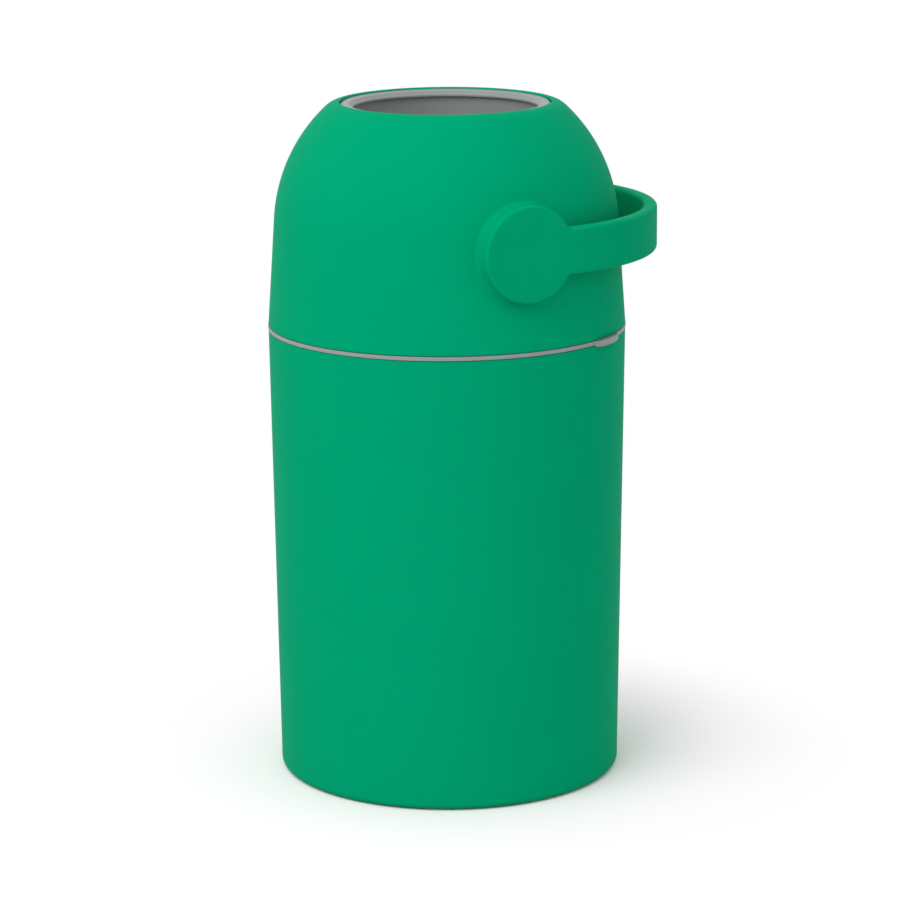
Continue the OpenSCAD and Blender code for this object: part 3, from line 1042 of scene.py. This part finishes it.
    def section(self) -> tuple[list[Point], int, int]:
        """The lid's closed section.

        Returns:
            The outline, the place in it of the outer line's first point, and the place of
            the inner line's first point, from which the inner line runs backwards.
        """
        d = self.datum
        outer = self.line(0.0)
        ball_r = d.ball_r + self.ball_gap
        inner = []
        for r, z in self.line(self.wall):
            reach = max(1.0, ball_r / math.hypot(r, z - d.hub_z))
            inner.append((r * reach, d.hub_z + (z - d.hub_z) * reach))
        step_r = d.rim_r - self.step_in
        inner_r = d.rim_r - self.wall
        rest_z = d.band_top + self.rest_gap
        foot = [(inner_r, rest_z), (step_r, rest_z), (step_r, self.lid_z)]
        edge = self.rim_edge
        foot += arc((d.rim_r - edge, self.lid_z + edge), edge, -QUARTER, 0.0, steps=4)
        low_z = d.hub_z + math.sqrt(ball_r**2 - self.mouth_r**2)
        lip = self.mouth_edge
        centre = (self.mouth_r + lip, d.lid_top - lip)
        mouth = arc(centre, lip, QUARTER, HALF_TURN, steps=5)[1:]
        mouth.append((self.mouth_r, low_z))
        section = foot + outer + mouth + inner[::-1]
        return section, len(foot), len(section) - 1

    def build(self) -> bpy.types.Object:
        """Builds the lid.

        Returns:
            The lid's moulding.
        """
        section, first_outer, first_inner = self.section()
        solid = Solid()
        rings = solid.rings(lambda _: section, even_angles(self.columns))
        low, high = self.patch_first_row, self.patch_last_row
        skins = {
            False: [rings[first_outer + k] for k in range(low, high + 1)],
            True: [rings[first_inner - k] for k in range(low, high + 1)],
        }
        cut_rows = set(range(first_outer + low, first_outer + high))
        cut_rows |= set(range(first_inner - high, first_inner - low))
        middles = (0, self.columns // 2)
        half = self.patch_half_columns
        cut_columns = {(m + i) % self.columns for m in middles for i in range(-half, half)}
        for row, ring in enumerate(rings):
            following = rings[(row + 1) % len(rings)]
            for c in range(self.columns):
                if row in cut_rows and c in cut_columns:
                    continue
                k = (c + 1) % self.columns
                solid.faces.append((ring[c], ring[k], following[k], following[c]))
        for middle in middles:
            ends = [self.patch(solid, skins[inner], middle, inner) for inner in (False, True)]
            solid.band(*ends)
        self.add_pegs(solid)
        self.add_posts(solid)
        return solid.build("lid_moulding")

    def add_pegs(self, solid: Solid) -> None:
        """Adds the stop pegs inside both bosses.

        Args:
            solid: The lid's mesh.
        """
        end_x = self.boss_x - self.boss_depth / 2.0
        edge = self.peg_edge_share * self.peg_r
        section = rounded(
            [
                Corner(0.0, self.peg_x),
                Corner(self.peg_r, self.peg_x, edge),
                Corner(self.peg_r, end_x),
                Corner(0.0, end_x),
            ]
        )
        for sign in (1.0, -1.0):
            for angle in self.peg_angles:
                turned = math.radians(angle)
                shift = Vector((0.0, math.cos(turned), math.sin(turned))) * self.peg_at
                place = Matrix.Translation(shift) @ along_x(self.datum.hub_z, sign)
                solid.turn(lambda _: section, even_angles(PIN_SIDES), place)

    def add_posts(self, solid: Solid) -> None:
        """Adds the screw posts of the base plate, each on a rib from the wall.

        Args:
            solid: The lid's mesh.
        """
        low = self.datum.band_top + self.post_low
        high = low + self.post_h
        roof = high - self.post_roof
        edge = self.post_edge
        section = rounded(
            [
                Corner(self.post_hole_r, low, edge),
                Corner(self.post_r, low, edge),
                Corner(self.post_r, high, edge),
                Corner(0.0, high),
                Corner(0.0, roof),
                Corner(self.post_hole_r, roof),
            ],
            steps=3,
        )
        wall_r = self.radius_at(high, self.wall / 2.0)
        half = self.rib_t / 2.0
        outline = ((-half, low), (half, low), (half, high), (-half, high))
        for angle in even_angles(self.post_count):
            spin = Matrix.Rotation(math.radians(self.post_start + angle), 4, "Z")
            place = spin @ Matrix.Translation((self.post_at, 0.0, 0.0))
            solid.turn(lambda _: section, even_angles(PIN_SIDES), place)
            ends = [
                [solid.add(*(spin @ Vector((x, y, z)))) for y, z in outline]
                for x in (self.post_at + self.post_hole_r + edge, wall_r)
            ]
            solid.faces += map(tuple, ends)
            solid.band(*ends)


# Handle


@dataclass(frozen=True)
class Station:
    """One place along the handle's outline, with the cross section there.

    Attributes:
        s: Way along the strap from the hub's axis.
        v: Half width there.
        lean: Outline's outward direction along the strap.
        out: Outline's outward direction across the strap.
        edge: Rounding of the outer edge.
        back_edge: Rounding of the inner edge.
        on_disc: Whether the back lies on the boss.
        bulge: How far the middle of the section runs ahead of its ends.
    """

    s: float
    v: float
    lean: float
    out: float
    edge: float
    back_edge: float
    on_disc: bool
    bulge: float


@dataclass(frozen=True)
class Handle:
    """The bail: a flat strap bent round the back of the lid, with a round hub disc at each end."""

    datum: Datum
    hub_r: float = 33.2 * MM
    hub_t: float = 7.4 * MM
    strap_w: float = 32.0 * MM
    strap_t: float = 9.8 * MM
    strap_run: float = 18.4 * MM
    root_fillet: float = 4.5 * MM
    disc_edge: float = 1.7 * MM
    strap_edge: float = 2.8 * MM
    back_edge: float = 0.1 * MM
    boss_gap: float = 0.4 * MM
    step_before: float = 0.05 * MM
    step_after: float = 0.1 * MM
    spigot_w: float = 15.9 * MM
    spigot_x: float = 113.8 * MM
    spigot_edge: float = 0.8 * MM
    disc_steps: int = 40
    fillet_steps: int = 8
    strap_steps: int = 70
    edge_steps: int = 6
    face_steps: int = 10

    def root_bulge(self, s: float) -> float:
        """How far a section's middle runs ahead, so that the back's step follows the boss."""
        clear_r = self.hub_r + self.boss_gap
        root = math.sqrt(clear_r**2 - (self.strap_w / 2.0) ** 2)
        most = clear_r - root
        if s <= root:
            share = max(0.0, s / root)
        else:
            share = max(0.0, 1.0 - (s - root) / (2.0 * root))
        return most * share * share * (3.0 - 2.0 * share)

    def stations(self) -> list[Station]:
        """The handle's outline from the far side of one disc to the middle of the grip.

        Returns:
            The stations.
        """
        half_w = self.strap_w / 2.0
        fillet = self.root_fillet
        centre = (math.sqrt((self.hub_r + fillet) ** 2 - (half_w + fillet) ** 2), half_w + fillet)
        meet = HALF_TURN - math.degrees(math.atan2(centre[1], centre[0]))
        clear = math.sqrt((self.hub_r + self.boss_gap) ** 2 - half_w**2)
        found: list[Station] = []

        def put(s: float, v: float, lean: float, out: float, share: float, on_disc: bool) -> None:
            """Adds a station whose edge is this share of the way from disc to strap."""
            edge = self.disc_edge + (self.strap_edge - self.disc_edge) * share
            back = self.back_edge if on_disc else self.strap_edge
            found.append(Station(s, v, lean, out, edge, back, on_disc, self.root_bulge(s)))

        for i in range(self.disc_steps + 1):
            angle = math.radians(meet * i / self.disc_steps)
            lean, out = -math.cos(angle), math.sin(angle)
            put(self.hub_r * lean, self.hub_r * out, lean, out, 0.0, True)
        split = False
        for i in range(1, self.fillet_steps + 1):
            share = i / self.fillet_steps
            angle = math.radians(HALF_TURN + (HALF_TURN - meet) + (meet - QUARTER) * share)
            lean, out = -math.cos(angle), -math.sin(angle)
            s, v = centre[0] - fillet * lean, centre[1] - fillet * out
            if s > clear and not split:
                put(s - self.step_before, v, lean, out, share, True)
                split = True
            put(s + (self.step_after if split else 0.0), v, lean, out, share, not split)
        end = self.strap_run + self.datum.face_x * math.pi / 2.0
        start = found[-1].s
        for i in range(1, self.strap_steps + 1):
            put(start + (end - start) * i / self.strap_steps, half_w, 0.0, 1.0, 1.0, False)
        return found

    def bend(self, s: float, v: float, depth: float) -> Vector:
        """A point of the strap.

        Args:
            s: Way along the strap.
            v: Way across it.
            depth: Depth below its outer face.

        Returns:
            The point.
        """
        radius = self.datum.face_x
        z = self.datum.hub_z + v
        if s <= self.strap_run:
            return Vector((radius - depth, s, z))
        angle = (s - self.strap_run) / radius
        along = (radius - depth) * math.sin(angle)
        return Vector(((radius - depth) * math.cos(angle), self.strap_run + along, z))

    def place(self, station: Station, s: float, v: float, share: float) -> Vector:
        """A point between the outer face and the back.

        Args:
            station: The station that it belongs to.
            s: Way along the strap.
            v: Way across it.
            share: 0 on the outer face, 1 on the back.

        Returns:
            The point.
        """
        front = self.bend(s, v, 0.0)
        if station.on_disc:
            back = Vector((self.datum.face_x - self.hub_t, s, self.datum.hub_z + v))
        else:
            back = self.bend(s, v, self.strap_t)
        return front.lerp(back, share)

    def ring(self, station: Station) -> list[Vector]:
        """The cross section at a station, as a closed ring.

        Args:
            station: The station.

        Returns:
            The ring's points.
        """
        depth = self.hub_t if station.on_disc else self.strap_t
        steps = [math.radians(QUARTER * k / self.edge_steps) for k in range(self.edge_steps + 1)]
        bow = [(1.0 - math.sin(a), 1.0 - math.cos(a)) for a in steps]
        side = [(station.edge * inset, station.edge * down) for inset, down in bow]
        side += [
            (station.back_edge * inset, depth - station.back_edge * down)
            for inset, down in reversed(bow)
        ]
        upper: list[Triple] = []
        for inset, down in side:
            v = max(0.0, station.v - station.out * inset)
            upper.append((station.s - station.lean * inset, v, down / depth))
        lower = [(s, -v, share) for s, v, share in upper]
        found = [self.place(station, *at) for at in upper]
        found += self.across(station, upper[-1], lower[-1])
        found += [self.place(station, *at) for at in reversed(lower)]
        found += self.across(station, lower[0], upper[0])
        return found

    def across(self, station: Station, start: Triple, end: Triple) -> list[Vector]:
        """Points across a face, between two edges.

        Args:
            station: The station.
            start: Way along, way across and depth share at one edge.
            end: The same at the other edge.

        Returns:
            The points, without the ends.
        """
        found = []
        for k in range(1, self.face_steps):
            v = start[1] + (end[1] - start[1]) * k / self.face_steps
            width = max(abs(start[1]), LEAST_WIDTH)
            ahead = station.bulge * (1.0 - (v / width) ** 2)
            found.append(self.place(station, start[0] + ahead, v, start[2]))
        return found

    def build(self) -> bpy.types.Object:
        """Builds the handle.

        Returns:
            The handle's moulding.
        """
        solid = Solid()
        half = [self.ring(station) for station in self.stations()]
        mirrored = [[Vector((-p.x, p.y, p.z)) for p in ring] for ring in reversed(half[:-1])]
        rings = [[solid.add(*p) for p in ring] for ring in half + mirrored]
        for first, second in zip(rings, rings[1:]):
            solid.band(first, second)
        self.add_spigots(solid)
        return solid.build("handle_moulding")

    def add_spigots(self, solid: Solid) -> None:
        """Adds the square spigots that turn the drive hubs.

        Args:
            solid: The handle's mesh.
        """
        half = self.spigot_w / 2.0
        cut = self.spigot_edge
        end_x = self.datum.face_x - self.hub_t + cut
        levels = ((self.spigot_x, half - cut), (self.spigot_x + cut, half), (end_x, half))
        for sign in (1.0, -1.0):
            rings = []
            for x, size in levels:
                inner = size - cut
                outline = [(size, inner), (inner, size), (-inner, size), (-size, inner)]
                outline += [(-y, -z) for y, z in outline]
                rings.append([solid.add(sign * x, y, self.datum.hub_z + z) for y, z in outline])
            solid.band(rings[0], rings[1])
            solid.band(rings[1], rings[2])
            solid.faces.append(tuple(rings[0]))
            solid.faces.append(tuple(rings[2]))


# Studio


@dataclass(frozen=True)
class Lamp:
    """A soft square lamp that looks at the bin.

    Attributes:
        name: Its name.
        azimuth: Where it stands, in degrees, as the camera's azimuth is given.
        elevation: How high it stands, in degrees.
        distance: How far it stands from the bin.
        width: Its width.
        watts: Its power.
    """

    name: str
    azimuth: float
    elevation: float
    distance: float
    width: float
    watts: float

    def light(self, target: Vector) -> None:
        """Makes the lamp.

        Args:
            target: Where it looks.
        """
        lamp = bpy.data.lights.new(self.name, "AREA")
        lamp.shape = "SQUARE"
        lamp.size = self.width
        lamp.energy = self.watts
        made = bpy.data.objects.new(self.name, lamp)
        back = direction(self.azimuth, self.elevation)
        made.location = target + back * self.distance
        made.rotation_euler = (-back).to_track_quat("-Z", "Y").to_euler()
        bpy.context.scene.collection.objects.link(made)


def direction(azimuth: float, elevation: float) -> Vector:
    """The way from the bin to a camera or lamp.

    Args:
        azimuth: Degrees round the bin. At 0 the look is along +Y.
        elevation: Degrees above the horizon.

    Returns:
        A vector one metre long.
    """
    a, e = math.radians(azimuth), math.radians(elevation)
    return Vector((math.sin(a) * math.cos(e), -math.cos(a) * math.cos(e), math.sin(e)))


@dataclass(frozen=True)
class Studio:
    """Camera, lamp, floor and background."""

    azimuth: float = 64.4
    distance: float = 2.3918
    height: float = 0.7918
    pitch: float = 13.25
    roll: float = -0.0064
    focal_mm: float = 137.75
    sensor_mm: float = 36.0
    shift_x: float = 0.00253
    shift_y: float = 0.00083
    floor_r: float = 8.0
    floor_sides: int = 64
    floor_tone: float = 0.8
    floor_seen: Colour = (1.17, 1.11, 1.14)
    shadow_r: float = 0.125
    white_r: float = 0.32
    fill: float = 0.69
    lamp: Lamp = Lamp("key_lamp", 25.0, 50.0, 2.2, 1.6, 21.4)

    def camera(self) -> None:
        """Makes the camera at the photograph's viewpoint."""
        lens = bpy.data.cameras.new("camera")
        lens.lens = self.focal_mm
        lens.sensor_width = self.sensor_mm
        lens.shift_x = self.shift_x
        lens.shift_y = self.shift_y
        made = bpy.data.objects.new("camera", lens)
        made.location = direction(self.azimuth, 0.0) * self.distance
        made.location.z += self.height
        look = -direction(self.azimuth, self.pitch)
        made.rotation_mode = "QUATERNION"
        roll = Matrix.Rotation(self.roll, 3, "Z").to_quaternion()
        made.rotation_quaternion = look.to_track_quat("-Z", "Y") @ roll
        bpy.context.scene.collection.objects.link(made)
        bpy.context.scene.camera = made

    @staticmethod
    def seen(graph: Graph) -> Value:
        """1 for what the camera sees straight or in gloss and glass, and 0 for light."""
        rays = [
            graph.node("ShaderNodeLightPath", output=name)
            for name in ("Is Camera Ray", "Is Glossy Ray", "Is Transmission Ray")
        ]
        return rays[0].maths("MAXIMUM", rays[0], rays[1] + rays[2])

    def floor(self) -> None:
        """Makes the pale floor, which keeps the shadow near the bin and is white beyond."""
        solid = Solid()
        rim = arc((0.0, 0.0), self.floor_r, 0.0, TURN, self.floor_sides)[:-1]
        solid.faces.append(tuple(solid.add(x, y, 0.0) for x, y in rim))
        made = solid.build("floor")
        material = bpy.data.materials.new("floor")
        graph = Graph(material)
        where = graph.node("ShaderNodeTexCoord", output="Object")
        far = graph.node("ShaderNodeVectorMath", {"operation": "LENGTH"}, {0: where}, "Value")
        away = graph.node(
            "ShaderNodeMapRange",
            {"interpolation_type": "SMOOTHSTEP"},
            {"Value": far, "From Min": self.shadow_r, "From Max": self.white_r},
        )
        seen = self.seen(graph)
        tone = graph.mix(seen, (self.floor_tone,) * 3, self.floor_seen)
        near = graph.node("ShaderNodeBsdfDiffuse", None, {"Color": tone})
        white = graph.node("ShaderNodeEmission", None, {"Color": FULL_WHITE, "Strength": 1.0})
        graph.finish(graph.node("ShaderNodeMixShader", None, {0: seen * away, 1: near, 2: white}))
        made.data.materials.append(material)
        made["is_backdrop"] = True

    def world(self) -> None:
        """Makes the even light round the bin, white where it is seen."""
        made = bpy.data.worlds.new("world")
        bpy.context.scene.world = made
        graph = Graph(made)
        soft, white = (
            graph.node("ShaderNodeBackground", None, {"Color": FULL_WHITE, "Strength": strength})
            for strength in (self.fill, 1.0)
        )
        seen = self.seen(graph)
        mixed = graph.node("ShaderNodeMixShader", None, {0: seen, 1: soft, 2: white})
        graph.finish(mixed, "ShaderNodeOutputWorld")

    def build(self, target: Vector) -> None:
        """Makes the whole studio.

        Args:
            target: The bin's middle, which the lamp looks at.
        """
        self.camera()
        self.floor()
        self.world()
        self.lamp.light(target)
        bpy.context.scene.view_settings.view_transform = "Standard"


# Whole bin


class Bin:
    """The whole bin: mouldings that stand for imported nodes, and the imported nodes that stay."""

    def __init__(self, palette: Palette) -> None:
        """Reads the shared sizes.

        Args:
            palette: The finishes.
        """
        self.palette = palette
        self.datum = Datum.read()
        self.stood_for: set[str] = set()

    def put(self, piece: bpy.types.Object, body: str, slot: Slot, *nodes: str) -> None:
        """Dresses a piece and joins it to its body.

        Args:
            piece: The piece.
            body: The body that it rides on.
            slot: Its finish.
            nodes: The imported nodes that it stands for.
        """
        self.palette.dress(piece, slot)
        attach(piece, body)
        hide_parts(*nodes)
        self.stood_for.update(nodes)
        log.info("%s rides on %s: %d faces", piece.name, body, len(piece.data.polygons))

    def build(self) -> None:
        """Builds the mouldings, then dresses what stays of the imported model."""
        tub = Tub(self.datum)
        self.put(tub.shell(), "bin_body", Slot.GREEN, "tub")
        self.put(tub.pad(), "bin_body", Slot.RUBBER, "non_slip_base")
        self.put(BagRing(self.datum).build(), "bag_ring", Slot.GREY, "bag_ring")
        self.put(Lid(self.datum).build(), "lid", Slot.GREEN, "lid_shell")
        self.put(Handle(self.datum).build(), "drum", Slot.GREEN, "handle")
        for row in frame["record"]["subparts"]:
            name = row["node"]
            if name in self.stood_for:
                continue
            self.palette.dress(frame["nodes"][name], Slot(row["material_slot"]))
            log.info("%s keeps its packed shape, in %s", name, row["material_slot"])


def corners(box: tuple[Vector, Vector]) -> list[list[float]]:
    """A box's two corners as plain numbers."""
    return [list(corner) for corner in box]


def main() -> None:
    """Builds the bin and its studio."""
    logging.basicConfig(level=logging.INFO, format="%(name)s: %(message)s")
    cad_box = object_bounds()
    Bin(Palette(FINISHES)).build()
    Studio().build((cad_box[0] + cad_box[1]) / 2.0)
    {"cad_box": corners(cad_box), "visual_box": corners(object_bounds())}


if __name__ == "__main__":
    main()
